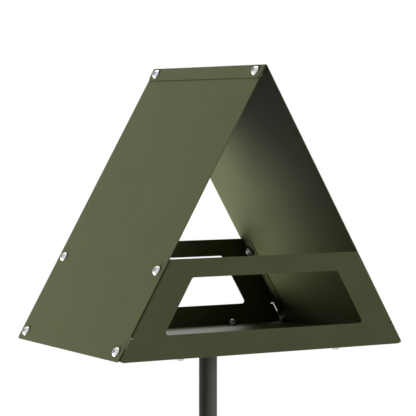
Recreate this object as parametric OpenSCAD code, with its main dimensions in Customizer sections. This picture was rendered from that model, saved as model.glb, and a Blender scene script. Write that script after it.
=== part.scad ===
// Gable bird feeder of folded steel sheets, bolted together on a sectional garden pole.
// The origin is on the pole's axis at ground level, +Z is up and the front faces -Y.

/* [House] */
// Width between the outer faces of the roof sheets at the level of the panels' undersides
base_w = 351; // [310:1:420]
// Pitch of both roof sheets above the level, in degrees
pitch = 60; // [57:1:62]
// Length of the roof sheets from front to back
roof_len = 245; // [200:5:300]
// Height of the roof's lower edges above the undersides of the panels
eave_z = 1.2; // [0.5:0.1:2]
// Thickness of every folded sheet
sheet_t = 1; // [0.8:0.1:1.5]
// Inner radius of every bend
bend_r = 1; // [0.5:0.25:1.25]
// Radius on the lower corners of the roof sheets
roof_corner_r = 3.5; // [2:0.5:5]

/* [Ridge] */
// Width of the ridge flange beyond the axes of its bolts
ridge_edge = 7.8; // [6:0.1:12]
// Radius on the corners of the ridge flange
ridge_corner_r = 5; // [3:0.5:6]

/* [End panels] */
// How far the faces of the panels stand in front of the roof's ends
panel_proud = 1.5; // [1:0.25:3]
// Height of the front and back panels
panel_h = 103; // [96:0.5:115]
// Width of the flanges folded from the panels
panel_flange = 23; // [21:0.5:28]
// Height of the window's sill
window_sill = 25.5; // [20:0.5:40]
// Height of the window's head
window_head = 83.5; // [70:0.5:88]
// Band beside the window, measured square to the slope from the roof's outer face
side_band = 33.3; // [28:0.1:40]
// Radius in the window's corners
window_r = 3; // [1:0.5:6]
// Gap between the roof's inside and the panel's side edges below the flanges
edge_gap = 0.3; // [0.2:0.1:0.8]
// Distance from the eave up to the lower end of the side flanges
flange_start = 28.5; // [27:0.5:36]
// Width of the relief slot below each side flange
relief_w = 1; // [0.8:0.1:2]
// Radius on the free corners of the flanges
flange_corner_r = 3; // [1:0.5:5]
// Length cut off the underside of the panels at their lower corners
corner_cut = 6; // [4:0.5:8]

/* [Floor] */
// Height of the floor's side flanges, measured up the slope from the eave
floor_flange = 20; // [19:0.5:24]
// Clearance between the ends of the floor and the bends of the sills
floor_gap = 0.5; // [0.3:0.1:2]
// Length cut off each edge at the corners of the floor's side flanges
floor_cut = 4; // [2:0.5:6]

/* [Bolt places] */
// Distance of the bolts from the outside of the panels
bolt_inset = 14; // [11:0.5:15]
// Distance from the top of the panels' side flanges down the slope to their bolts
panel_bolt_drop = 13.8; // [10:0.1:25]
// Distance between the two bolts in the sill of each panel
sill_bolt_pitch = 192; // [150:2:220]
// Least clearance of a nut from the sheet beside it
nut_room = 0.4; // [0.3:0.1:0.8]

/* [Fasteners] */
// Diameter of the bolt shanks
bolt_d = 6; // [5:0.5:6]
// Diameter of the clearance holes
hole_d = 6.6; // [6.4:0.1:7]
// Diameter of the domed bolt heads
head_d = 10.5; // [9.5:0.5:11]
// Height of the bolt heads
head_h = 3.3; // [2.6:0.1:3.5]
// Size across the flats of the key socket
socket_af = 4; // [3:0.5:4]
// Depth of the key socket
socket_depth = 2; // [1.5:0.1:2.2]
// Size across the flats of the lock nuts
nut_af = 10; // [9:0.5:10]
// Height of the lock nuts
nut_h = 6; // [5:0.25:6]
// How far a bolt's end stands out of its nut
bolt_end = 1; // [0.5:0.25:2]

/* [Pole] */
// Outer diameter of the pole tubes
pole_d = 20; // [18:1:26]
// Wall of the pole tubes
pole_wall = 1.5; // [1:0.25:2]
// Length of each pole section that shows
section_len = 300; // [200:10:450]
// Length of the spigots inside the tubes
spigot_len = 35; // [25:1:50]
// Gap around a spigot inside its tube
spigot_gap = 0.15; // [0.1:0.05:0.2]
// Side of the square plate on top of the pole
plate_w = 72; // [68:2:90]
// Thickness of the plate on top of the pole
plate_t = 3; // [2:0.5:5]
// Distance between the plate's bolts
plate_bolt_pitch = 46; // [44:1:50]
// Radius on the plate's corners
plate_corner_r = 8; // [3:1:10]

/* [Ground spike] */
// Diameter of the spike
spike_d = 16; // [12:1:18]
// Length of the straight part of the spike
spike_len = 130; // [100:5:250]
// Length of the spike's point
point_len = 40; // [25:5:60]
// Diameter of the blunt tip
tip_d = 3; // [2:0.5:5]
// Diameter of the collar that stops the spike at the ground
collar_d = 30; // [28:1:50]
// Thickness of the collar
collar_t = 4; // [3:0.5:6]

/* [Hidden] */
$fn = 64;

olive = "#5f6349";
charcoal = "#3f3e3b";
stainless = "#c9cbcd";

// How far a cut or a hole runs past the faces that it opens
past = 5;
// Clearance between the inside of the ridge fold and the top edge of the left sheet
ridge_gap = 0.5;
// Depth of the relief slot beyond the bend that it frees
relief_past_bend = 1;
// How far the flat of a flange stands back from the ends of its bend
flange_step = 1;
// Height of the straight rim of a bolt head
head_rim = 0.8;
// Diameter of the flat on top of a bolt head
head_flat = 5.2;
// Share of a lock nut's height that is a hexagon, below its round collar
hex_share = 0.7;
// How far the collar of a lock nut stays inside the nut's flats
collar_step = 0.6;
// Size of the rounding on top of a lock nut's collar
collar_round = 1;
// Clearance between a shank and the bore of its nut
thread_gap = 0.1;
// Chamfer on the bolts' ends, the spigots and the tube ends
chamfer = 0.6;
// Height of the swaged neck below a spigot
neck_len = 4;

bend_out = bend_r + sheet_t;
apex_z = base_w / 2 * tan(pitch);
eave_v = (apex_z - eave_z) / sin(pitch);
panel_y = roof_len / 2 + panel_proud;
bolt_y = panel_y - bolt_inset;
tube_bore = pole_d - 2 * pole_wall;
spigot_d = tube_bore - 2 * spigot_gap;
// The floor lies on the sill flanges of the panels
floor_top = 2 * sheet_t;
// The plate under the floor stands on the top tube
house_z = collar_t + 3 * section_len + plate_t - sheet_t;

// The right roof sheet has a section frame of its own: v runs down its outer face from
// the ridge line, and w stands square out of it. These give X and Z in the house.
function slope_x(v, w) = v * cos(pitch) + w * sin(pitch);
function slope_z(v, w) = apex_z - v * sin(pitch) + w * cos(pitch);
function slope_point(v, w) = [slope_x(v, w), slope_z(v, w)];
// The v of the point at height z that stands out by w
function slope_v(z, w) = (apex_z - z + w * cos(pitch)) / sin(pitch);
// The same outline on the other side of the house, in the opposite order
function mirrored(points) =
    [for (i = [len(points) - 1 : -1 : 0]) [-points[i][0], points[i][1]]];

// Flat and bend are one sheet that is drawn in two parts. Counted in lengths of the bend
// from its corner, the legs of its section end at leg_share and the flat starts at
// flat_share, so that the two lap over each other
leg_share = 2;
flat_share = 1.5;
leg_len = leg_share * bend_out;
flat_from = flat_share * bend_out;

// The outer faces of the fold over the ridge meet at this v of the right sheet, and its
// bend takes fold_reach of each face
fold_v = -sheet_t / sin(2 * pitch);
fold_reach = bend_out * tan(pitch);
fold_left_v = sheet_t / tan(2 * pitch) + fold_reach;

// The least v at which a nut below the left sheet clears the inside of the right one
nut_hex_h = nut_h * hex_share;
ridge_nut_v = (sheet_t + nut_room - cos(2 * pitch) * (sheet_t + nut_hex_h)) / sin(2 * pitch);
ridge_bolt_v = ridge_nut_v + nut_af / 2;
// The greatest v at which a nut inside a side flange clears the top of the floor
eave_nut_v = slope_v(floor_top + nut_room, -2 * sheet_t - nut_hex_h);
eave_bolt_v = eave_nut_v - nut_af / 2;

// The side flanges of a panel bend round a line this far inside the roof's outer face
bend_w = sheet_t + bend_out;
flange_low_v = eave_v - flange_start;
flange_top_v = slope_v(panel_h, -sheet_t) + flange_step;
panel_bolt_v = flange_top_v + panel_bolt_drop;
slot_w = -(bend_w + relief_past_bend);
// The lower side edges of a panel keep clear of the roof's inner face
edge_w = -(sheet_t + edge_gap);
// Half the width of a panel at the height of its underside
sill_half = slope_x(slope_v(0, edge_w), edge_w);

floor_end = panel_y - bend_out - floor_gap;

// Corner i of an outline: its two tangent points and the centre of its arc
function corner_parts(points, r, i) =
    let (n = len(points), p = points[i],
         a = points[(i + n - 1) % n] - p, b = points[(i + 1) % n] - p,
         ua = a / norm(a), ub = b / norm(b),
         half = acos(ua * ub) / 2, bisector = (ua + ub) / norm(ua + ub))
    [p + ua * r / tan(half), p + ub * r / tan(half), p + bisector * r / sin(half)];

// A convex outline with a radius on each corner, where 0 leaves it sharp
module rounded_outline(points, radii) {
    arcs = [for (i = [0 : len(points) - 1]) corner_parts(points, radii[i], i)];
    polygon([for (i = [0 : len(points) - 1])
             each radii[i] > 0 ? [arcs[i][0], arcs[i][1]] : [points[i]]]);
    for (i = [0 : len(points) - 1])
        if (radii[i] > 0)
            translate(arcs[i][2]) circle(radii[i]);
}

// A rectangle whose radii go round from its low corner, first along X
module rounded_rect(low, high, radii) {
    rounded_outline([low, [high[0], low[1]], high, [low[0], high[1]]], radii);
}

// The section of a sheet that is bent once: its outer face runs from a round the corner
// to b, and both its ends are square. An outline that is deeper than the sheet has the
// space inside the bend cut out of it, past both ends
module bent_sheet(a, corner, b) {
    depth = 3 * sheet_t;
    ua = (a - corner) / norm(a - corner);
    ub = (b - corner) / norm(b - corner);
    half = acos(ua * ub) / 2;
    into_a = (ub - (ua * ub) * ua) / sin(2 * half);
    into_b = (ua - (ua * ub) * ub) / sin(2 * half);
    inner = corner + (ua + ub) / norm(ua + ub) * sheet_t / sin(half);
    difference() {
        rounded_outline([a, corner, b, b + depth * into_b, a + depth * into_a],
                        [0, bend_out, 0, 0, 0]);
        rounded_outline([inner + 2 * (a - corner), inner, inner + 2 * (b - corner)],
                        [0, bend_r, 0]);
    }
}

// Carries a section drawn in X and Z along Y
module along_y(low, high) {
    translate([0, high, 0]) rotate([90, 0, 0]) linear_extrude(high - low) children();
}

// The house's own frame, with Z = 0 in the plane of its lowest edges
module in_house() {
    translate([0, 0, house_z]) children();
}

// The outer face of the right roof sheet as a frame: X is v, Y is Y and Z is w
module on_right_slope() {
    translate([0, 0, apex_z]) rotate([0, pitch, 0]) children();
}

module on_left_slope() {
    mirror([1, 0, 0]) on_right_slope() children();
}

module on_both_slopes() {
    on_right_slope() children();
    on_left_slope() children();
}

// Copies near the front and the back end of a slope
module at_slope_bolts(v, w) {
    for (y = [-bolt_y, bolt_y])
        translate([v, y, w]) children();
}

// Copies at both bolts of each sill, on the floor
module at_sill_bolts(z) {
    for (x = [-1, 1], y = [-1, 1])
        translate([x * sill_bolt_pitch / 2, y * bolt_y, z]) children();
}

module at_plate_bolts(z) {
    for (x = [-1, 1], y = [-1, 1])
        translate([x * plate_bolt_pitch / 2, y * plate_bolt_pitch / 2, z]) children();
}

module hole() {
    translate([0, 0, -past]) cylinder(d = hole_d, h = 2 * past);
}

// Roof

// The flat of a roof sheet from top_v down to the eave, with its bolt holes
module roof_flat(top_v) {
    half = roof_len / 2;
    difference() {
        translate([0, 0, -sheet_t]) linear_extrude(sheet_t)
            rounded_rect([top_v, -half], [eave_v, half], [0, roof_corner_r, roof_corner_r, 0]);
        at_slope_bolts(panel_bolt_v, 0) hole();
        at_slope_bolts(eave_bolt_v, 0) hole();
    }
}

module roof_left() {
    color(olive) in_house() on_left_slope() difference() {
        roof_flat(fold_left_v + ridge_gap);
        at_slope_bolts(ridge_bolt_v, 0) hole();
    }
}

// The right sheet folds over the ridge and lies on the left one as a flange
module roof_right() {
    half = roof_len / 2;
    flange_v = ridge_bolt_v + ridge_edge;
    color(olive) in_house() difference() {
        on_right_slope() {
            roof_flat(fold_v + flat_share * fold_reach);
            along_y(-half, half)
                bent_sheet([fold_v + leg_share * fold_reach, 0], [fold_v, 0],
                           [fold_v, 0] - (flange_v + past) * [cos(2 * pitch), sin(2 * pitch)]);
        }
        on_left_slope() {
            at_slope_bolts(ridge_bolt_v, 0) hole();
            ridge_flange_trim(flange_v, half);
        }
    }
}

// What is cut off a ridge flange that is too long, down to its end and its corners
module ridge_flange_trim(end_v, half) {
    translate([0, 0, -sheet_t / 2]) linear_extrude(sheet_t + past) difference() {
        translate([end_v - ridge_corner_r, -half - past])
            square([ridge_corner_r + 2 * past, 2 * (half + past)]);
        rounded_rect([0, -half], [end_v, half], [0, ridge_corner_r, ridge_corner_r, 0]);
    }
}

// End panels

// The face and the sill of a panel, which run on past the roof at the sides and the top
module panel_sheet() {
    window = [slope_point(slope_v(window_sill, -side_band), -side_band),
              slope_point(slope_v(window_head, -side_band), -side_band)];
    half = sill_half - corner_cut - flange_step;
    along_y(0, sheet_t) difference() {
        translate([-sill_half, flat_from]) square([2 * sill_half, panel_h]);
        rounded_outline(concat(window, mirrored(window)), [for (i = [1 : 4]) window_r]);
    }
    translate([-sill_half, 0, 0]) rotate([90, 0, 90]) linear_extrude(2 * sill_half)
        bent_sheet([0, leg_len], [0, 0], [leg_len, 0]);
    difference() {
        linear_extrude(sheet_t)
            rounded_rect([-half, flat_from], [half, panel_flange],
                         [0, 0, flange_corner_r, flange_corner_r]);
        for (x = [-1, 1])
            translate([x * sill_bolt_pitch / 2, bolt_inset, 0]) hole();
    }
}

// What is cut off the side edge of a panel: all that lies beyond its gap from the roof,
// and the place of the bend down to the end of the relief slot
module panel_edge_cut() {
    translate([0, -past, edge_w]) cube([2 * eave_v, panel_flange, base_w]);
    translate([0, -past, slot_w]) cube([flange_low_v + relief_w, panel_flange, base_w]);
}

// A flange that lies inside a roof sheet, with the bend that joins it to the face
module panel_side_flange() {
    low_v = flange_low_v - flange_step;
    rotate([90, 0, 90]) linear_extrude(flange_low_v)
        bent_sheet([0, slot_w - relief_past_bend], [0, -sheet_t], [leg_len, -sheet_t]);
    difference() {
        translate([0, 0, -2 * sheet_t]) linear_extrude(sheet_t)
            rounded_rect([flange_top_v, flat_from], [low_v, panel_flange],
                         [0, 0, flange_corner_r, flange_corner_r]);
        translate([panel_bolt_v, bolt_inset, 0]) hole();
    }
}

// What is cut off the right lower corner of a panel, up to the top of the sill's bend
module panel_corner_cut() {
    low = [sill_half - corner_cut, 0];
    high = slope_point(slope_v(bend_out, edge_w), edge_w);
    along = (high - low) / norm(high - low);
    out = [along[1], -along[0]];
    along_y(-past, 2 * leg_len)
        polygon([low - past * along, low + past * (out - along),
                 high + past * (out + along), high + past * along]);
}

// The front panel, in its own frame with its outer face on Y = 0
module end_panel() {
    difference() {
        union() {
            difference() {
                panel_sheet();
                on_both_slopes() panel_edge_cut();
            }
            on_both_slopes() panel_side_flange();
        }
        translate([-base_w / 2, -past, panel_h]) cube([base_w, panel_flange, apex_z]);
        panel_corner_cut();
        mirror([1, 0, 0]) panel_corner_cut();
    }
}

module front_panel() {
    color(olive) in_house() translate([0, -panel_y, 0]) end_panel();
}

module back_panel() {
    color(olive) in_house() rotate([0, 0, 180]) translate([0, -panel_y, 0]) end_panel();
}

// Floor

// The right half of the floor's section, whose flange leans in along the roof sheet
module floor_section() {
    corner = slope_point(slope_v(sheet_t, -sheet_t), -sheet_t);
    bent_sheet([-past, sheet_t], corner, slope_point(eave_v - floor_flange, -sheet_t));
}

module floor_tray() {
    color(olive) in_house() difference() {
        along_y(-floor_end, floor_end) {
            floor_section();
            mirror([1, 0]) floor_section();
        }
        at_sill_bolts(sheet_t) hole();
        at_plate_bolts(sheet_t) hole();
        on_both_slopes() {
            at_slope_bolts(eave_bolt_v, -sheet_t) hole();
            for (y = [-floor_end, floor_end])
                translate([eave_v - floor_flange, y, -past]) rotate(45)
                    cube([floor_cut * sqrt(2), floor_cut * sqrt(2), 2 * past], center = true);
        }
    }
}

// Fasteners

// A disc whose upper edge is a sphere, from the rim up to a flat on top
module domed_disc(d, h, rim_h, flat_d) {
    centre_z = (d * d / 4 - flat_d * flat_d / 4 + rim_h * rim_h - h * h) / (2 * (rim_h - h));
    intersection() {
        cylinder(d = d, h = h);
        translate([0, 0, centre_z]) sphere(norm([d / 2, rim_h - centre_z]));
    }
}

// A socket head bolt that stands on Z = 0 and points down
module bolt(length) {
    color(stainless) {
        difference() {
            domed_disc(head_d, head_h, head_rim, head_flat);
            translate([0, 0, head_h - socket_depth])
                rotate(30) cylinder(d = socket_af / cos(30), h = past, $fn = 6);
        }
        translate([0, 0, chamfer - length]) cylinder(d = bolt_d, h = length - chamfer);
        translate([0, 0, -length])
            cylinder(d1 = bolt_d - 2 * chamfer, d2 = bolt_d, h = chamfer);
    }
}

// A lock nut that hangs below Z = 0, with one of its flats square to X
module nut() {
    hex_r = nut_af / 2;
    color(stainless) mirror([0, 0, 1]) difference() {
        union() {
            intersection() {
                rotate(30) cylinder(d = nut_af / cos(30), h = nut_hex_h, $fn = 6);
                cylinder(r1 = hex_r + nut_hex_h * tan(60), r2 = hex_r, h = nut_hex_h);
            }
            domed_disc(nut_af - 2 * collar_step, nut_h, nut_h - collar_round,
                       nut_af - 2 * collar_step - 2 * collar_round);
        }
        translate([0, 0, -past]) cylinder(d = bolt_d + 2 * thread_gap, h = nut_h + 2 * past);
    }
}

// Every joint of the house clamps two sheets, so one bolt length serves them all
sheet_bolt_len = 2 * sheet_t + nut_h + bolt_end;
plate_bolt_len = sheet_t + plate_t + nut_h + bolt_end;

module ridge_bolts() {
    in_house() on_left_slope() at_slope_bolts(ridge_bolt_v, sheet_t) bolt(sheet_bolt_len);
}

module ridge_nuts() {
    in_house() on_left_slope() at_slope_bolts(ridge_bolt_v, -sheet_t) nut();
}

module panel_bolts() {
    in_house() on_both_slopes() at_slope_bolts(panel_bolt_v, 0) bolt(sheet_bolt_len);
}

module panel_nuts() {
    in_house() on_both_slopes() at_slope_bolts(panel_bolt_v, -2 * sheet_t) nut();
}

module eave_bolts() {
    in_house() on_both_slopes() at_slope_bolts(eave_bolt_v, 0) bolt(sheet_bolt_len);
}

module eave_nuts() {
    in_house() on_both_slopes() at_slope_bolts(eave_bolt_v, -2 * sheet_t) nut();
}

module sill_bolts() {
    in_house() at_sill_bolts(0) mirror([0, 0, 1]) bolt(sheet_bolt_len);
}

module sill_nuts() {
    in_house() at_sill_bolts(floor_top) mirror([0, 0, 1]) nut();
}

module plate_bolts() {
    in_house() at_plate_bolts(floor_top) bolt(plate_bolt_len);
}

module plate_nuts() {
    in_house() at_plate_bolts(sheet_t - plate_t) nut();
}

// Pole

// A tube from low to high whose upper end is swaged to a spigot for the next tube
module pole_section(low, high) {
    outer = pole_d / 2;
    bore = tube_bore / 2;
    neck = spigot_d / 2;
    neck_bore = neck - pole_wall;
    top = high + spigot_len;
    color(charcoal) rotate_extrude()
        polygon([[bore, low], [outer - chamfer / 2, low], [outer, low + chamfer / 2],
                 [outer, high - chamfer / 2], [outer - chamfer / 2, high], [neck, high],
                 [neck, top - chamfer], [neck - chamfer, top], [neck_bore, top],
                 [neck_bore, high - neck_len], [bore, high - 2 * neck_len]]);
}

module pole_lower() {
    pole_section(collar_t, collar_t + section_len);
}

module pole_middle() {
    pole_section(collar_t + section_len, collar_t + 2 * section_len);
}

// The top tube is plain at both ends and slides over the spigot of the plate
module pole_upper() {
    low = collar_t + 2 * section_len;
    color(charcoal) difference() {
        union() {
            translate([0, 0, low])
                cylinder(d1 = pole_d - chamfer, d2 = pole_d, h = chamfer / 2);
            translate([0, 0, low + chamfer / 2]) cylinder(d = pole_d, h = section_len - chamfer / 2);
        }
        translate([0, 0, low - past]) cylinder(d = tube_bore, h = section_len + 2 * past);
    }
}

// The plate under the floor, with the spigot that is welded to it
module pole_plate() {
    half = plate_w / 2;
    color(charcoal) in_house() translate([0, 0, sheet_t]) difference() {
        union() {
            translate([0, 0, -plate_t]) linear_extrude(plate_t)
                rounded_rect([-half, -half], [half, half], [for (i = [1 : 4]) plate_corner_r]);
            translate([0, 0, -plate_t - spigot_len]) cylinder(d = spigot_d, h = spigot_len + plate_t);
        }
        translate([0, 0, -plate_t - spigot_len - past])
            cylinder(d = spigot_d - 2 * pole_wall, h = spigot_len + past);
        at_plate_bolts(-plate_t / 2) hole();
    }
}

// A turned steel spike with a collar that stops it at the ground
module ground_spike() {
    top = collar_t + spigot_len;
    color(charcoal) {
        translate([0, 0, -spike_len - point_len])
            cylinder(d1 = tip_d, d2 = spike_d, h = point_len);
        translate([0, 0, -spike_len]) cylinder(d = spike_d, h = spike_len);
        cylinder(d = collar_d, h = collar_t - chamfer);
        translate([0, 0, collar_t - chamfer])
            cylinder(d1 = collar_d, d2 = collar_d - 2 * chamfer, h = chamfer);
        cylinder(d = spigot_d, h = top - chamfer);
        translate([0, 0, top - chamfer])
            cylinder(d1 = spigot_d, d2 = spigot_d - 2 * chamfer, h = chamfer);
    }
}

roof_left();
roof_right();
front_panel();
back_panel();
floor_tray();
ridge_bolts();
ridge_nuts();
panel_bolts();
panel_nuts();
eave_bolts();
eave_nuts();
sill_bolts();
sill_nuts();
plate_bolts();
plate_nuts();
pole_plate();
pole_upper();
pole_middle();
pole_lower();
ground_spike();
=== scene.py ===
"""Dresses a gable bird feeder of folded sheet steel on a garden pole: its powder coats, its
bright fasteners, a pale studio floor, soft light and a camera at the height of the house."""

import math

import bpy
import numpy as np
from bpy.props import FloatProperty, FloatVectorProperty, IntProperty, PointerProperty
from mathutils import Euler, Matrix, Vector


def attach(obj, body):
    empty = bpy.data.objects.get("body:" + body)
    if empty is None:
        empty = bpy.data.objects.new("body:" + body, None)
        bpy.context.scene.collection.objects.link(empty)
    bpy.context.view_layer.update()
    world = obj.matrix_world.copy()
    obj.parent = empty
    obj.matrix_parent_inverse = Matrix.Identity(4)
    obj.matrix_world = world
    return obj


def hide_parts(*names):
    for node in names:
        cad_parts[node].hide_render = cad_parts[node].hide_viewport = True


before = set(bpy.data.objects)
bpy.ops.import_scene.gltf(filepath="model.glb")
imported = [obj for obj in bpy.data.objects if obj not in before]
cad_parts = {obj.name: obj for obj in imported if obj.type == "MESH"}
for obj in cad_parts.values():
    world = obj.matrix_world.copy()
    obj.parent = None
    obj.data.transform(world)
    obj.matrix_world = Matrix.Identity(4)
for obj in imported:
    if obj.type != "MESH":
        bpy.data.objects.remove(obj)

bl_info = {
    "name": "Gable bird feeder",
    "version": (1, 0, 0),
    "blender": (4, 5, 0),
    "location": "3D View > Sidebar > Bird feeder",
    "description": "Finishes, fasteners, floor, light and camera for a gable bird feeder",
    "category": "Object",
}

MM = 0.001
IMAGE_PX = 416
SENSOR_MM = 36.0
CLIP_END = 50.0

# The studio floor: half its side in metres, its colour as sRGB, how much of white it adds at its
# middle to what its light gives it, and the distances in metres between which it fades to white
FLOOR_HALF = 2.6
FLOOR_COLOUR = (0.9, 0.9, 0.9)
FLOOR_GLOW = 0.6
FLOOR_FADE = (0.5, 2.2)

# The point that the soft boxes face, in metres
AIM = (0.0, 0.0, 1.05)

# Soft boxes: name, azimuth from +Y towards +X and elevation in degrees, distance and side in
# metres, level, and what the pole is to it: EXCLUDE keeps the lamp off the pole, INCLUDE keeps
# it off all else, and None does neither
LAMPS = (
    ("low_rear", -55.0, -28.0, 1.8, 1.0, 1.35, "EXCLUDE"),
    ("window", 32.0, 42.0, 1.5, 1.0, 0.62, None),
    ("pole_front", 140.0, 0.0, 1.8, 1.0, 1.2, "INCLUDE"),
)

# Soft light from far away, on matt faces alone: azimuth and elevation as above, the radii in
# degrees at which it begins to fade and at which it ends, and level
SKY = (
    (-45.0, -15.0, 5.0, 30.0, 9.5),
    (150.0, 0.0, 5.0, 30.0, 4.9),
)

# Powder coat: waves per metre of its mottle, speckle, dimples and grain, depths in metres of
# the last two, and its darker tone as a share of its colour
COAT_MOTTLE = 18.0
COAT_SPECKLE = 2600.0
COAT_DIMPLES = 420.0
COAT_GRAIN = 1900.0
DIMPLE_DEPTH = 0.00006
GRAIN_DEPTH = 0.00002
COAT_DARK = 0.9

# Steel: waves per metre of its clouds and scratches, how much finer the scratches are along Z,
# their depth in metres, and its darker tone as a share of its colour
STEEL_CLOUDS = 900.0
STEEL_SCRATCHES = 2400.0
SCRATCH_SQUEEZE = 6.0
SCRATCH_DEPTH = 0.00001
STEEL_DARK = 0.82

# Nylon: waves per metre of its clouds, and its paler tone over its colour
NYLON_CLOUDS = 600.0
NYLON_PALE = 1.12

# The pitch of the roof, and sizes in millimetres that the part's source gives the house: the
# panels' undersides lie at HOUSE_Z, and the side flanges start FLANGE_STEP below their tops
PITCH = math.radians(60.0)
BASE_W = 351.0
HOUSE_Z = 906.0
SHEET = 1.0
PANEL_H = 103.0
RIDGE_EDGE = 7.8
FLANGE_STEP = 1.0
PANEL_BOLT_DROP = 13.8
NUT_ROOM = 0.4
NUT_FLATS = 10.0
NUT_HEX_H = 4.2

# Distances of the bolts from the middle, along Y on the roof and in the sills, along X in the
# sills, and both ways in the plate, and the lengths of the bolts
BOLT_Y = 110.0
SILL_BOLT_X = 96.0
PLATE_BOLT_X = 23.0
SHEET_BOLT_LEN = 9.0
PLATE_BOLT_LEN = 11.0

APEX_Z = BASE_W / 2 * math.tan(PITCH)


def slope_z(v, w):
    """Height of the point that lies v down the slope from the ridge line and w out of it."""
    return APEX_Z - v * math.sin(PITCH) + w * math.cos(PITCH)


def slope_v(z, w):
    """How far down the slope the point at height z lies that stands w out of it."""
    return (APEX_Z - z + w * math.cos(PITCH)) / math.sin(PITCH)


# How far down the slope the bolts of the roof lie: the ridge's nuts clear the inside of the
# other sheet, and the eaves' nuts clear the floor
RIDGE_NUT_TOP = SHEET + NUT_ROOM - math.cos(2 * PITCH) * (SHEET + NUT_HEX_H)
RIDGE_BOLT_V = RIDGE_NUT_TOP / math.sin(2 * PITCH) + NUT_FLATS / 2
PANEL_BOLT_V = slope_v(PANEL_H, -SHEET) + FLANGE_STEP + PANEL_BOLT_DROP
EAVE_BOLT_V = slope_v(2 * SHEET + NUT_ROOM, -2 * SHEET - NUT_HEX_H) - NUT_FLATS / 2

# Painted shade: a dark line under the ridge flange, where its shadow falls, from a little below
# the flange's lower edge up to its outer corner: its height below the edge and its fade in
# millimetres, and its darkness
SEAM_BELOW = 1.2
SEAM_FADE = 0.3
SEAM_SHADE = 0.5

# The nodes of the frame that each finish covers
SHEET_NODES = ("roof_left", "roof_right", "front_panel", "back_panel")
TRAY_NODES = ("floor_tray",)
POLE_NODES = ("pole_plate", "pole_upper", "pole_middle", "pole_lower", "ground_spike")

# Both ends and both sides of the house, where the bolts repeat
ENDS = (-BOLT_Y, BOLT_Y)
SIDES = (-1, 1)

# How many bolts there are, and the seed of the angles by which they are turned
BOLT_COUNT = 18
TURN_SEED = 7

# Stations along the dome of a bolt, along the lip of a nut and along one turn of thread
DOME_STEPS = 12
LIP_STEPS = 7
TURN_STEPS = 8

# In millimetres, how far below a head its thread starts, how far the radius draws in at a
# bolt's tip and at the edge of the tip's face, and the room between a bolt and its nut
THREAD_START = 0.5
TIP_TAPER = 1.1
TIP_EDGE = 0.15
BORE_GAP = 0.05

# How far a nut's collar stays inside its flats and how far the collar's lip bulges, both in
# millimetres, and the rise of the cones that cut its hexagon at the bearing face and above
COLLAR_STEP = 0.6
LIP_BULGE = 0.28
FACE_CONE = 1.9
COLLAR_CONE = 1.75

# Widths in millimetres over which the thread runs into the tip and the flats into the cones
TIP_BLEND = 0.1
CONE_BLEND = 0.12

# Angle in degrees past which an edge of a fastener stays sharp
SHARP_ANGLE = 35.0


class Socket:
    """A node's output whose arithmetic adds Math nodes, so that a pattern reads as a formula."""

    def __init__(self, material, output):
        self.material = material
        self.output = output

    def _math(self, operation, first, second):
        return self.material.node(
            "ShaderNodeMath", {"operation": operation}, {0: first, 1: second}
        )

    def __add__(self, other):
        return self._math("ADD", self, other)

    def __radd__(self, other):
        return self._math("ADD", other, self)

    def __sub__(self, other):
        return self._math("SUBTRACT", self, other)

    def __rsub__(self, other):
        return self._math("SUBTRACT", other, self)

    def __mul__(self, other):
        return self._math("MULTIPLY", self, other)

    def __rmul__(self, other):
        return self._math("MULTIPLY", other, self)

    def larger(self, other):
        """The greater of two values."""
        return self._math("MAXIMUM", self, other)

    def clamped(self, low, high):
        """The value carried from low..high to 0..1 and held there."""
        return self.material.node(
            "ShaderNodeMapRange", {"clamp": True}, {0: self, 1: low, 2: high, 3: 0.0, 4: 1.0}
        )


class Shading:
    """A shader's node tree, filled node by node."""

    def __init__(self, tree):
        self.tree = tree

    def node(self, kind, settings, inputs, output=0):
        """Adds any node: its settings first, then the values or links of its sockets."""
        made = self.tree.nodes.new(kind)
        for name, value in settings.items():
            setattr(made, name, value)
        for socket, value in inputs.items():
            if isinstance(value, Socket):
                self.tree.links.new(value.output, made.inputs[socket])
            else:
                made.inputs[socket].default_value = value
        return Socket(self, made.outputs[output])

    def seen(self):
        """1 for what the camera, a mirror or a clear body sees, and 0 for light on matt faces."""
        kinds = ("Is Camera Ray", "Is Glossy Ray", "Is Transmission Ray")
        camera, glossy, clear = (self.node("ShaderNodeLightPath", {}, {}, kind) for kind in kinds)
        return camera.larger(glossy).larger(clear)


class Finish(Shading):
    """A procedural material on a Principled shader."""

    def __init__(self, name, constants):
        self.data = bpy.data.materials.new(name)
        self.data.use_nodes = True
        super().__init__(self.data.node_tree)
        self.shader = self.tree.nodes["Principled BSDF"]
        for socket, value in constants.items():
            self.shader.inputs[socket].default_value = value

    def place(self):
        """Object coordinates, in metres."""
        return self.node("ShaderNodeTexCoord", {}, {}, output="Object")

    def axis(self, name):
        """One Object coordinate, in metres."""
        return self.node("ShaderNodeSeparateXYZ", {}, {"Vector": self.place()}, output=name)

    def noise(self, waves, detail, squeeze=1.0):
        """Fractal noise of so many waves per metre, squeezed along Z."""
        where = self.node(
            "ShaderNodeMapping", {}, {"Vector": self.place(), "Scale": (1.0, 1.0, squeeze)}
        )
        return self.node(
            "ShaderNodeTexNoise",
            {"noise_dimensions": "3D"},
            {"Vector": where, "Scale": waves, "Detail": detail},
        )

    def mix(self, factor, first, second):
        """A colour between two others."""
        return self.node(
            "ShaderNodeMix",
            {"data_type": "RGBA"},
            {"Factor": factor, 6: first, 7: second},
            output=2,
        )

    def bump(self, height, distance, strength, below=None):
        """Relief of the given depth in metres, over another relief if one is given."""
        inputs = {"Height": height, "Distance": distance, "Strength": strength}
        if below is not None:
            inputs["Normal"] = below
        return self.node("ShaderNodeBump", {}, inputs)

    def feed(self, socket, value):
        """Joins a value that changes over the surface to the shader."""
        self.tree.links.new(value.output, self.shader.inputs[socket])


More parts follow.
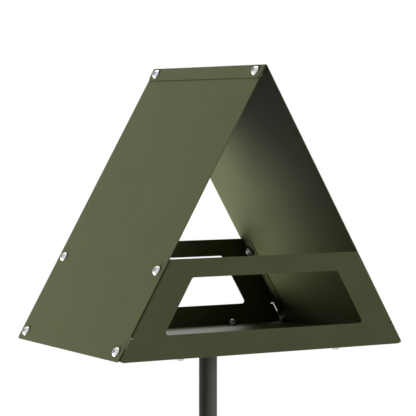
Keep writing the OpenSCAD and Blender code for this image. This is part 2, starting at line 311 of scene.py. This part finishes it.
def linear(colour):
    """A colour written as sRGB fractions, in the linear values that the shader takes."""
    low = [c / 12.92 for c in colour]
    high = [((c + 0.055) / 1.055) ** 2.4 for c in colour]
    return tuple(h if c > 0.04045 else l for c, l, h in zip(colour, low, high)) + (1.0,)


def ridge_seam_shade(finish):
    """Mask of painted shade: 1 along the seam under the ridge flange, where its shadow falls, on
    the left of the ridge, and 0 elsewhere. The seam is a band of heights that fades at both its
    edges."""
    edge_v = RIDGE_BOLT_V + RIDGE_EDGE
    low = (HOUSE_Z + slope_z(edge_v, 0.0) - SEAM_BELOW) * MM
    high = (HOUSE_Z + slope_z(edge_v, SHEET)) * MM
    fade = SEAM_FADE * MM
    height = finish.axis("Z")
    above = height.clamped(low, low + fade)
    below = 1.0 - height.clamped(high - fade, high)
    left = 1.0 - finish.axis("X").clamped(-SHEET * MM, 0.0)
    return above * below * left


def shaded(colour, share):
    """A linear colour with its three parts scaled, up to white."""
    return tuple(min(1.0, part * share) for part in colour[:3]) + (1.0,)


def coat_finish(name, colour, roughness, specular, seam=False):
    """A powder coat: a soft sheen, the dimples of the flowed powder and a faint mottle, and
    where asked painted shade along the seam under the ridge flange, where its shadow falls."""
    finish = Finish(name, {"Metallic": 0.0, "IOR": 1.5, "Specular IOR Level": specular})
    base = linear(colour)
    mottle = finish.noise(COAT_MOTTLE, 3.0)
    speckle = finish.noise(COAT_SPECKLE, 1.0)
    tone = (mottle * 0.7 + speckle * 0.3).clamped(0.35, 0.65)
    coat = finish.mix(tone, shaded(base, COAT_DARK), base)
    if seam:
        # Painted shade: the base colour darkens along the seam under the ridge flange
        coat = finish.mix(ridge_seam_shade(finish) * SEAM_SHADE, coat, (0.0, 0.0, 0.0, 1.0))
    finish.feed("Base Color", coat)
    finish.feed("Roughness", (mottle - 0.5) * 0.10 + (speckle - 0.5) * 0.08 + roughness)
    dimples = finish.bump(finish.noise(COAT_DIMPLES, 2.0), DIMPLE_DEPTH, 0.5)
    grain = finish.noise(COAT_GRAIN, 1.0)
    finish.feed("Normal", finish.bump(grain, GRAIN_DEPTH, 0.5, dimples))
    return finish.data


def steel_finish(name, colour, roughness):
    """Stainless steel as turned and tumbled: fine scratches all ways over a clean sheen."""
    finish = Finish(name, {"Metallic": 1.0})
    base = linear(colour)
    clouds = finish.noise(STEEL_CLOUDS, 2.0).clamped(0.3, 0.7)
    scratch = finish.noise(STEEL_SCRATCHES, 4.0, SCRATCH_SQUEEZE)
    finish.feed("Base Color", finish.mix(clouds, shaded(base, STEEL_DARK), base))
    finish.feed("Roughness", (scratch - 0.5) * 0.2 + roughness)
    finish.feed("Normal", finish.bump(scratch, SCRATCH_DEPTH, 0.4))
    return finish.data


def nylon_finish(name, colour):
    """The ring of natural nylon in a lock nut, faintly cloudy."""
    finish = Finish(name, {"Roughness": 0.45, "Subsurface Weight": 0.1})
    base = linear(colour)
    clouds = finish.noise(NYLON_CLOUDS, 2.0)
    finish.feed("Base Color", finish.mix(clouds, base, shaded(base, NYLON_PALE)))
    return finish.data


def floor_finish(name, colour):
    """A pale matt floor that glows for the camera, mirrors and glass, and fades to the white
    of the surroundings with its distance from the middle."""
    finish = Finish(name, {"Roughness": 1.0, "Specular IOR Level": 0.0})
    finish.shader.inputs["Base Color"].default_value = linear(colour)
    finish.shader.inputs["Emission Strength"].default_value = 1.0
    away = finish.node(
        "ShaderNodeVectorMath", {"operation": "LENGTH"}, {0: finish.place()}, output="Value"
    )
    glow = FLOOR_GLOW + (1.0 - FLOOR_GLOW) * away.clamped(*FLOOR_FADE)
    finish.feed("Emission Color", finish.seen() * glow)
    return finish.data


def dress(names, material):
    """Gives carried-over nodes of the frame their material."""
    for name in names:
        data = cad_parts[name].data
        data.materials.clear()
        data.materials.append(material)


def round_rings(rows, angles):
    """A surface of revolution from rows of radius and height: at angle a and station s the
    point lies at the radius of row s, which may itself change with a, and at its height along
    the axis. Returns stations by angles by 3."""
    radii = np.array([np.broadcast_to(radius, angles.shape) for radius, height in rows])
    heights = np.array([height for radius, height in rows], dtype=float)
    z = np.broadcast_to(heights[:, None], radii.shape)
    return np.stack([radii * np.cos(angles), radii * np.sin(angles), z], axis=-1)


def hexagon(angles, half_flats):
    """Distance to the side of a hexagon: half its width over the cosine of the angle from the
    middle of the nearest side, of which one faces angle 0."""
    from_side = (angles + math.pi / 6) % (math.pi / 3) - math.pi / 6
    return half_flats / np.cos(from_side)


def soft_min(a, b, blend):
    """The lesser of two values, eased over a width of blend where they meet."""
    share = np.clip(0.5 + 0.5 * (b - a) / blend, 0.0, 1.0)
    return b + (a - b) * share - blend * share * (1.0 - share)


def arc(start, end, bulge, count):
    """Stations along an arc from start to end in radius and height, bulging out by bulge."""
    t = np.linspace(0.0, 1.0, count)[:, None]
    start, end = np.array(start), np.array(end)
    across = np.array([end[1] - start[1], start[0] - end[0]]) / np.hypot(*(end - start))
    return start + (end - start) * t - across * (4.0 * bulge * t * (1.0 - t))


def bolt_points(length, size):
    """A button-head bolt that stands on z = 0 and points down, by angle and by station along
    its outline: the cone and the six walls of the socket, the flat, the dome, the rim, and a
    thread whose radius is a triangle wave of z / pitch + angle / turn, cut off by the cone at
    the tip. Its first and last stations are the points on the axis, and its smallest steps, in
    millimetres, ease its edges."""
    angles = np.linspace(0.0, 2.0 * math.pi, size.around, endpoint=False)
    half = size.socket_flats / 2
    six = hexagon(angles, half)
    mouth = half / math.cos(math.pi / 6)
    top, rim = size.head_h, size.head_rim
    floor_z = top - size.socket_depth
    head_r, shank_r = size.head_d / 2, size.shank_d / 2
    rows = [
        (0.0, floor_z - 0.5), (0.85 * half, floor_z), (0.99 * six, floor_z + 0.02),
        (six, floor_z + 0.15), (six, top - 0.3), (1.01 * six, top - 0.15),
        (mouth, top - 0.04), (mouth + 0.12, top),
        *arc((size.head_flat / 2, top), (head_r - 0.12, rim), size.dome_bulge, DOME_STEPS),
        (head_r - 0.02, rim - 0.1), (head_r, rim - 0.25), (head_r, 0.15),
        (head_r - 0.05, 0.04), (head_r - 0.18, 0.0), (shank_r + 0.2, 0.0), (shank_r, -0.2),
    ]
    z = np.arange(-THREAD_START, -length, -size.thread_pitch / TURN_STEPS)[:, None]
    turns = z / size.thread_pitch + angles / (2.0 * math.pi)
    wave = np.abs(2.0 * (turns % 1.0) - 1.0)
    thread = shank_r - size.thread_depth * (1.0 - wave)
    tip = shank_r - TIP_TAPER + (z + length)
    rows += zip(soft_min(thread, tip, TIP_BLEND), z[:, 0])
    rows += [(shank_r - TIP_TAPER - TIP_EDGE, -length), (0.0, -length)]
    return round_rings(rows, angles)


def nut_points(size):
    """A lock nut that hangs below z = 0, by angle and by station round its closed section: up
    the bore, over the bearing face, down the six sides, which are the lesser of a hexagon and
    two cones, over the round collar and its lip, and across the ring of nylon inside it. Its
    smallest steps, in millimetres, ease its edges. Returns the points and the station at which
    the nylon begins."""
    angles = np.linspace(0.0, 2.0 * math.pi, size.around, endpoint=False)
    half = size.nut_flats / 2
    bore = size.shank_d / 2 + BORE_GAP
    collar = half - COLLAR_STEP
    tall, hex_h = size.nut_h, size.hex_h
    # Stations down the sides, closest where the cones cut the corners
    down = np.array([0.0, 0.06, 0.15, 0.3, 0.5, 0.8, 1.5, 2.4, 3.0, 3.3, 3.5, 3.7, 3.9, 4.05, 4.15])
    face_cone = half - 0.25 + down * FACE_CONE
    collar_cone = half - 0.05 + (hex_h - down) * COLLAR_CONE
    cones = np.minimum(face_cone, collar_cone)
    sides = soft_min(hexagon(angles, half), cones[:, None], CONE_BLEND)
    metal = [
        (bore, 3.0), (bore, 0.5), (bore + 0.45, 0.0), *zip(sides, down),
        (collar + 0.25, hex_h), (collar + 0.02, hex_h + 0.08),
        *arc((collar, tall - 1.0), (collar - 0.75, tall - 0.02), LIP_BULGE, LIP_STEPS),
        (collar - 0.85, tall - 0.01), (collar - 0.92, tall - 0.08), (collar - 0.95, tall - 0.3),
    ]
    nylon = [
        (collar - 1.0, tall - 0.38), (bore + 0.12, tall - 0.4), (bore, tall - 0.5), (bore, hex_h),
    ]
    points = round_rings([(radius, -depth) for radius, depth in metal + nylon], angles)
    return points, len(metal)


def bolt_faces(rings, around):
    """Faces of a bolt with a point at either end of so many rings: a fan over the first ring
    and the last, and quads between them."""
    turn = np.arange(around)
    beside = (turn + 1) % around
    last = 1 + (rings - 1) * around
    top = np.stack([1 + turn, 1 + beside, 0 * turn], axis=-1)
    tip = np.stack([last + beside, last + turn, 0 * turn + last + around], axis=-1)
    return ring_faces(rings, around, 1)[:, ::-1].tolist() + top.tolist() + tip.tolist()


def ring_faces(stations, around, first=0, closed=False):
    """Quads between neighbouring stations of a grid that closes round its axis, and between
    the last station and the first where its section is closed too."""
    station = np.arange(stations if closed else stations - 1)[:, None] * around
    turn = np.arange(around)[None, :]
    beside = (turn + 1) % around
    above = (station + around) % (stations * around)
    quads = np.stack([station + turn, station + beside, above + beside, above + turn], axis=-1)
    return quads.reshape(-1, 4) + first


def many(points, poses):
    """Copies of a grid of points, one for each 4 by 4 pose, in metres."""
    flat = np.concatenate([points.reshape(-1, 3), np.ones((points[..., 0].size, 1))], axis=1)
    return np.concatenate([(flat @ np.array(pose).T)[:, :3] for pose in poses]) * MM


def piece(node, vertices, faces, materials, slots):
    """A mesh object at the origin, smooth but for its sharp edges, in place of a CAD node."""
    name = node + "_detailed"
    mesh = bpy.data.meshes.new(name)
    mesh.from_pydata(vertices.tolist(), [], faces)
    for material in materials:
        mesh.materials.append(material)
    mesh.polygons.foreach_set("material_index", slots)
    mesh.polygons.foreach_set("use_smooth", np.ones(len(faces), dtype=bool))
    mesh.set_sharp_from_angle(angle=math.radians(SHARP_ANGLE))
    made = bpy.data.objects.new(name, mesh)
    bpy.context.scene.collection.objects.link(made)
    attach(made, "root")
    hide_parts(node)


def pose(origin, out, along, turn=0.0):
    """A frame whose Z looks along out and whose X lies along, before it turns about out."""
    z = Vector(out).normalized()
    x = Vector(along).normalized()
    frame_axes = Matrix((x, z.cross(x), z)).transposed().to_4x4()
    return Matrix.Translation(origin) @ frame_axes @ Matrix.Rotation(turn, 4, "Z")


def slope_pose(side, v, w, y, turn=0.0):
    """A frame on a slope of the roof, on the right for side 1 and on the left for side -1, v
    down from the ridge line and w out of the outer face."""
    down = Vector((side * math.cos(PITCH), 0.0, -math.sin(PITCH)))
    out = Vector((side * math.sin(PITCH), 0.0, math.cos(PITCH)))
    place = Vector((0.0, y, HOUSE_Z + APEX_Z)) + down * v + out * w
    return pose(place, out, down, turn)


def level_pose(x, y, z, side, turn=0.0):
    """A frame on a level face, whose Z looks up for side 1 and down for side -1."""
    return pose(Vector((x, y, HOUSE_Z + z)), Vector((0, 0, side)), Vector((1, 0, 0)), turn)


def towards(azimuth, elevation):
    """The direction at an azimuth from +Y towards +X and an elevation, both in degrees."""
    turn, rise = math.radians(azimuth), math.radians(elevation)
    level = math.cos(rise)
    return Vector((math.sin(turn) * level, math.cos(turn) * level, math.sin(rise)))


class FinishSettings(bpy.types.PropertyGroup):
    olive: FloatVectorProperty(
        name="Olive", description="Colour of the sheets, as sRGB", subtype="COLOR",
        default=(0.351, 0.370, 0.250), min=0.0, max=1.0)
    olive_roughness: FloatProperty(
        name="Olive roughness", description="How matt the sheets are",
        default=0.42, min=0.0, max=1.0, subtype="FACTOR")
    charcoal: FloatVectorProperty(
        name="Charcoal", description="Colour of the pole, as sRGB", subtype="COLOR",
        default=(0.247, 0.243, 0.231), min=0.0, max=1.0)
    charcoal_roughness: FloatProperty(
        name="Charcoal roughness", description="How matt the pole is",
        default=0.55, min=0.0, max=1.0, subtype="FACTOR")
    steel: FloatVectorProperty(
        name="Steel", description="Colour of the bolts, as sRGB", subtype="COLOR",
        default=(0.84, 0.84, 0.845), min=0.0, max=1.0)
    # Painted shade: the nuts are the same stainless steel as the bolts, given a darker colour for
    # the shade and dark reflections inside the house
    shaded_nut_steel: FloatVectorProperty(
        name="Nut steel", description="Colour of the lock nuts, as sRGB", subtype="COLOR",
        default=(0.42, 0.42, 0.41), min=0.0, max=1.0)
    steel_roughness: FloatProperty(
        name="Steel roughness", description="How matt the fasteners are",
        default=0.3, min=0.0, max=1.0, subtype="FACTOR")
    nylon: FloatVectorProperty(
        name="Nylon", description="Colour of the nuts' nylon rings, as sRGB", subtype="COLOR",
        default=(0.80, 0.79, 0.74), min=0.0, max=1.0)
    coat_specular: FloatProperty(
        name="Coat gloss", description="Strength of the powder coat's reflections",
        default=0.04, min=0.0, max=1.0, subtype="FACTOR")
    tray_roughness: FloatProperty(
        name="Floor roughness", description="How matt the floor of the house is",
        default=0.5, min=0.0, max=1.0, subtype="FACTOR")
    tray_specular: FloatProperty(
        name="Floor gloss", description="Strength of the reflections in the floor of the house",
        default=0.5, min=0.0, max=1.0, subtype="FACTOR")


def bolt_places(turns):
    """Each bolt node with its bolts' length and poses, each turned by its own angle."""
    turn = iter(turns)
    return (
        ("ridge_bolts", SHEET_BOLT_LEN,
         [slope_pose(-1, RIDGE_BOLT_V, SHEET, y, next(turn)) for y in ENDS]),
        ("panel_bolts", SHEET_BOLT_LEN,
         [slope_pose(side, PANEL_BOLT_V, 0.0, y, next(turn)) for side in SIDES for y in ENDS]),
        ("eave_bolts", SHEET_BOLT_LEN,
         [slope_pose(side, EAVE_BOLT_V, 0.0, y, next(turn)) for side in SIDES for y in ENDS]),
        ("sill_bolts", SHEET_BOLT_LEN,
         [level_pose(x * SILL_BOLT_X, y, 0.0, -1, next(turn)) for x in SIDES for y in ENDS]),
        ("plate_bolts", PLATE_BOLT_LEN,
         [level_pose(x * PLATE_BOLT_X, y * PLATE_BOLT_X, 2 * SHEET, 1, next(turn))
          for x in SIDES for y in SIDES]),
    )


def nut_places():
    """Each nut node with its nuts' poses, whose flats stay square to the slopes."""
    return (
        ("ridge_nuts", [slope_pose(-1, RIDGE_BOLT_V, -SHEET, y) for y in ENDS]),
        ("panel_nuts",
         [slope_pose(side, PANEL_BOLT_V, -2 * SHEET, y) for side in SIDES for y in ENDS]),
        ("eave_nuts",
         [slope_pose(side, EAVE_BOLT_V, -2 * SHEET, y) for side in SIDES for y in ENDS]),
        ("sill_nuts",
         [level_pose(x * SILL_BOLT_X, y, 2 * SHEET, -1) for x in SIDES for y in ENDS]),
        ("plate_nuts",
         [level_pose(x * PLATE_BOLT_X, y * PLATE_BOLT_X, -2 * SHEET, 1)
          for x in SIDES for y in SIDES]),
    )


class FastenerSettings(bpy.types.PropertyGroup):
    around: IntProperty(
        name="Round steps", description="Points round each bolt and nut", default=72, min=12)
    head_d: FloatProperty(
        name="Head diameter", description="Diameter of a bolt head, in mm",
        default=10.5, min=1.0)
    head_h: FloatProperty(
        name="Head height", description="Height of a bolt head, in mm",
        default=3.3, min=0.5)
    head_rim: FloatProperty(
        name="Rim", description="Height of the head's straight rim, in mm",
        default=0.8, min=0.1)
    head_flat: FloatProperty(
        name="Flat", description="Diameter of the flat on top of a head, in mm",
        default=5.4, min=0.5)
    dome_bulge: FloatProperty(
        name="Dome", description="Rise of the dome over a cone, in mm",
        default=0.42, min=0.0)
    socket_flats: FloatProperty(
        name="Socket", description="Key size of the socket, in mm",
        default=4.0, min=0.5)
    socket_depth: FloatProperty(
        name="Socket depth", description="Depth of the socket, in mm",
        default=2.0, min=0.2)
    shank_d: FloatProperty(
        name="Thread diameter", description="Diameter over the thread, in mm",
        default=6.0, min=1.0)
    thread_pitch: FloatProperty(
        name="Thread pitch", description="Rise of one turn of the thread, in mm",
        default=1.0, min=0.2)
    thread_depth: FloatProperty(
        name="Thread depth", description="Depth of the thread, in mm",
        default=0.55, min=0.0)
    nut_flats: FloatProperty(
        name="Nut size", description="Width of a nut across its flats, in mm",
        default=NUT_FLATS, min=1.0)
    nut_h: FloatProperty(
        name="Nut height", description="Height of a nut with its collar, in mm",
        default=6.0, min=1.0)
    hex_h: FloatProperty(
        name="Hexagon height", description="Height of a nut's hexagon, in mm",
        default=NUT_HEX_H, min=0.5)


class StageSettings(bpy.types.PropertyGroup):
    eye: FloatVectorProperty(
        name="Camera place", description="Where the camera stands",
        default=(-1.0490, -1.8374, 1.1566), subtype="XYZ", unit="LENGTH")
    heading: FloatProperty(
        name="Camera heading", description="Turn of the view from +Y towards +X",
        default=math.radians(29.722), subtype="ANGLE")
    tilt: FloatProperty(
        name="Camera tilt", description="Fall of the view below the level",
        default=math.radians(2.791), subtype="ANGLE")
    focal_px: FloatProperty(
        name="Focal length", description="Focal length in pixels of the square image",
        default=1920.5, min=100.0)
    ambient: FloatProperty(
        name="Ambient light", description="Strength of the even light from the room",
        default=0.02, min=0.0)


class BIRDFEEDER_OT_coats(bpy.types.Operator):
    """Gives the folded sheets and the pole their powder coats"""

    bl_idname = "birdfeeder.coats"
    bl_label = "Powder coats"

    def execute(self, context):
        look = context.scene.feeder_finish
        gloss = look.coat_specular
        # The olive sheets carry painted shade along the seam under the ridge flange
        dress(SHEET_NODES, coat_finish(
            "olive_coat", look.olive, look.olive_roughness, gloss, seam=True))
        dress(TRAY_NODES, coat_finish(
            "floor_coat", look.olive, look.tray_roughness, look.tray_specular))
        dress(POLE_NODES, coat_finish(
            "charcoal_coat", look.charcoal, look.charcoal_roughness, gloss))
        return {"FINISHED"}


class BIRDFEEDER_OT_bolts(bpy.types.Operator):
    """Makes the button-head bolts with their sockets and threads"""

    bl_idname = "birdfeeder.bolts"
    bl_label = "Bolts"

    def execute(self, context):
        size = context.scene.feeder_fasteners
        look = context.scene.feeder_finish
        steel = steel_finish("bolt_steel", look.steel, look.steel_roughness)
        turns = np.random.default_rng(TURN_SEED).uniform(0.0, math.pi / 3, BOLT_COUNT)
        for node, length, poses in bolt_places(turns):
            self.make(node, bolt_points(length, size), poses, steel)
        return {"FINISHED"}

    def make(self, node, points, poses, steel):
        """The bolts of one node, each with a single point at either end of its axis."""
        rings = points[1:-1]
        one = np.concatenate([points[0, :1], rings.reshape(-1, 3), points[-1, :1]])
        one_faces = bolt_faces(len(rings), points.shape[1])
        faces = [
            [corner + copy * len(one) for corner in face]
            for copy in range(len(poses)) for face in one_faces
        ]
        slots = np.zeros(len(faces), dtype=np.int32)
        piece(node, many(one, poses), faces, [steel], slots)


class BIRDFEEDER_OT_nuts(bpy.types.Operator):
    """Makes the lock nuts with their collars and nylon rings"""

    bl_idname = "birdfeeder.nuts"
    bl_label = "Lock nuts"

    def execute(self, context):
        size = context.scene.feeder_fasteners
        look = context.scene.feeder_finish
        # Painted shade: a darker copy of the bolts' steel, for the shade inside the house where the
        # nuts sit
        steel = steel_finish("shaded_nut_steel", look.shaded_nut_steel, look.steel_roughness)
        nylon = nylon_finish("nylon", look.nylon)
        points, nylon_from = nut_points(size)
        stations, around = points.shape[:2]
        quads = ring_faces(stations, around, closed=True)[:, ::-1]
        one_slots = np.zeros((stations, around), dtype=np.int32)
        one_slots[nylon_from:] = 1
        for node, poses in nut_places():
            faces = np.concatenate([quads + i * stations * around for i in range(len(poses))])
            slots = np.tile(one_slots.ravel(), len(poses))
            piece(node, many(points, poses), faces.tolist(), [steel, nylon], slots)
        return {"FINISHED"}


class BIRDFEEDER_OT_stage(bpy.types.Operator):
    """Makes the pale floor, the soft lights, the white surroundings and the camera"""

    bl_idname = "birdfeeder.stage"
    bl_label = "Floor, light and camera"

    def execute(self, context):
        stage = context.scene.feeder_stage
        self.floor()
        self.surroundings(stage.ambient)
        self.lamps()
        self.camera(stage)
        context.scene.view_settings.view_transform = "Standard"
        return {"FINISHED"}

    def floor(self):
        """A level square under the spike's collar, on the ground."""
        low, high = -FLOOR_HALF, FLOOR_HALF
        mesh = bpy.data.meshes.new("studio_floor")
        square = [(low, low, 0), (high, low, 0), (high, high, 0), (low, high, 0)]
        mesh.from_pydata(square, [], [(0, 1, 2, 3)])
        mesh.materials.append(floor_finish("pale_floor", FLOOR_COLOUR))
        floor = bpy.data.objects.new("studio_floor", mesh)
        bpy.context.scene.collection.objects.link(floor)

    def surroundings(self, ambient):
        """White to the camera, to mirrors and to glass. Matt faces get the ambient light and
        the soft patches far away, whose light rises towards their middles."""
        world = bpy.data.worlds.new("studio_room")
        world.use_nodes = True
        bpy.context.scene.world = world
        room = Shading(world.node_tree)
        direction = room.node("ShaderNodeTexCoord", {}, {}, output="Generated")
        soft = ambient
        for azimuth, elevation, inner, outer, level in SKY:
            nearness = room.node(
                "ShaderNodeVectorMath", {"operation": "DOT_PRODUCT"},
                {0: direction, 1: towards(azimuth, elevation)}, output="Value",
            )
            edges = math.cos(math.radians(outer)), math.cos(math.radians(inner))
            soft = soft + level * nearness.clamped(*edges)
        seen = room.seen()
        strength = seen + soft * (1.0 - seen)
        light = world.node_tree.nodes["Background"]
        light.inputs["Color"].default_value = (1.0, 1.0, 1.0, 1.0)
        world.node_tree.links.new(strength.output, light.inputs["Strength"])

    def lamps(self):
        """Soft boxes on spheres round the house, each aimed at its middle. A lamp of power
        level * pi^2 * distance^2 lights a white card that faces it to that level."""
        middle = Vector(AIM)
        for name, azimuth, elevation, distance, side, level, pole_state in LAMPS:
            way = towards(azimuth, elevation)
            light = bpy.data.lights.new(name, "AREA")
            light.shape = "SQUARE"
            light.size = side
            light.energy = level * (math.pi * distance) ** 2
            lamp = bpy.data.objects.new(name, light)
            lamp.location = middle + way * distance
            lamp.rotation_euler = way.to_track_quat("Z", "Y").to_euler()
            lamp.visible_camera = False
            bpy.context.scene.collection.objects.link(lamp)
            if pole_state:
                self.flag(lamp, pole_state)

    def flag(self, lamp, pole_state):
        """Keeps a lamp off the pole, or off everything but the pole."""
        flagged = bpy.data.collections.new(lamp.name + "_pole")
        for node in POLE_NODES:
            flagged.objects.link(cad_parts[node])
        for member in flagged.collection_objects:
            member.light_linking.link_state = pole_state
        lamp.light_linking.receiver_collection = flagged

    def camera(self, stage):
        """At the photograph's place, with its lens as an angle of view on a square image."""
        data = bpy.data.cameras.new("camera")
        data.sensor_width = SENSOR_MM
        data.sensor_fit = "HORIZONTAL"
        data.lens = stage.focal_px * SENSOR_MM / IMAGE_PX
        data.clip_end = CLIP_END
        camera = bpy.data.objects.new("camera", data)
        camera.location = stage.eye
        camera.rotation_euler = Euler((math.pi / 2 - stage.tilt, 0.0, -stage.heading), "XYZ")
        bpy.context.scene.collection.objects.link(camera)
        bpy.context.scene.camera = camera


class BIRDFEEDER_PT_panel(bpy.types.Panel):
    """Lists the feeder's operators"""

    bl_label = "Bird feeder"
    bl_idname = "BIRDFEEDER_PT_panel"
    bl_space_type = "VIEW_3D"
    bl_region_type = "UI"
    bl_category = "Bird feeder"

    def draw(self, context):
        for operator in OPERATORS:
            self.layout.operator(operator.bl_idname)


OPERATORS = (
    BIRDFEEDER_OT_stage, BIRDFEEDER_OT_coats, BIRDFEEDER_OT_bolts, BIRDFEEDER_OT_nuts,
)
CLASSES = (
    FinishSettings, FastenerSettings, StageSettings, *OPERATORS, BIRDFEEDER_PT_panel,
)


def register():
    for entry in CLASSES:
        bpy.utils.register_class(entry)
    bpy.types.Scene.feeder_finish = PointerProperty(type=FinishSettings)
    bpy.types.Scene.feeder_fasteners = PointerProperty(type=FastenerSettings)
    bpy.types.Scene.feeder_stage = PointerProperty(type=StageSettings)


def unregister():
    del bpy.types.Scene.feeder_stage
    del bpy.types.Scene.feeder_fasteners
    del bpy.types.Scene.feeder_finish
    for entry in reversed(CLASSES):
        bpy.utils.unregister_class(entry)


def main():
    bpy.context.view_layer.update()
    register()
    bpy.ops.birdfeeder.stage()
    bpy.ops.birdfeeder.coats()
    bpy.ops.birdfeeder.bolts()
    bpy.ops.birdfeeder.nuts()


if __name__ == "__main__":
    main()
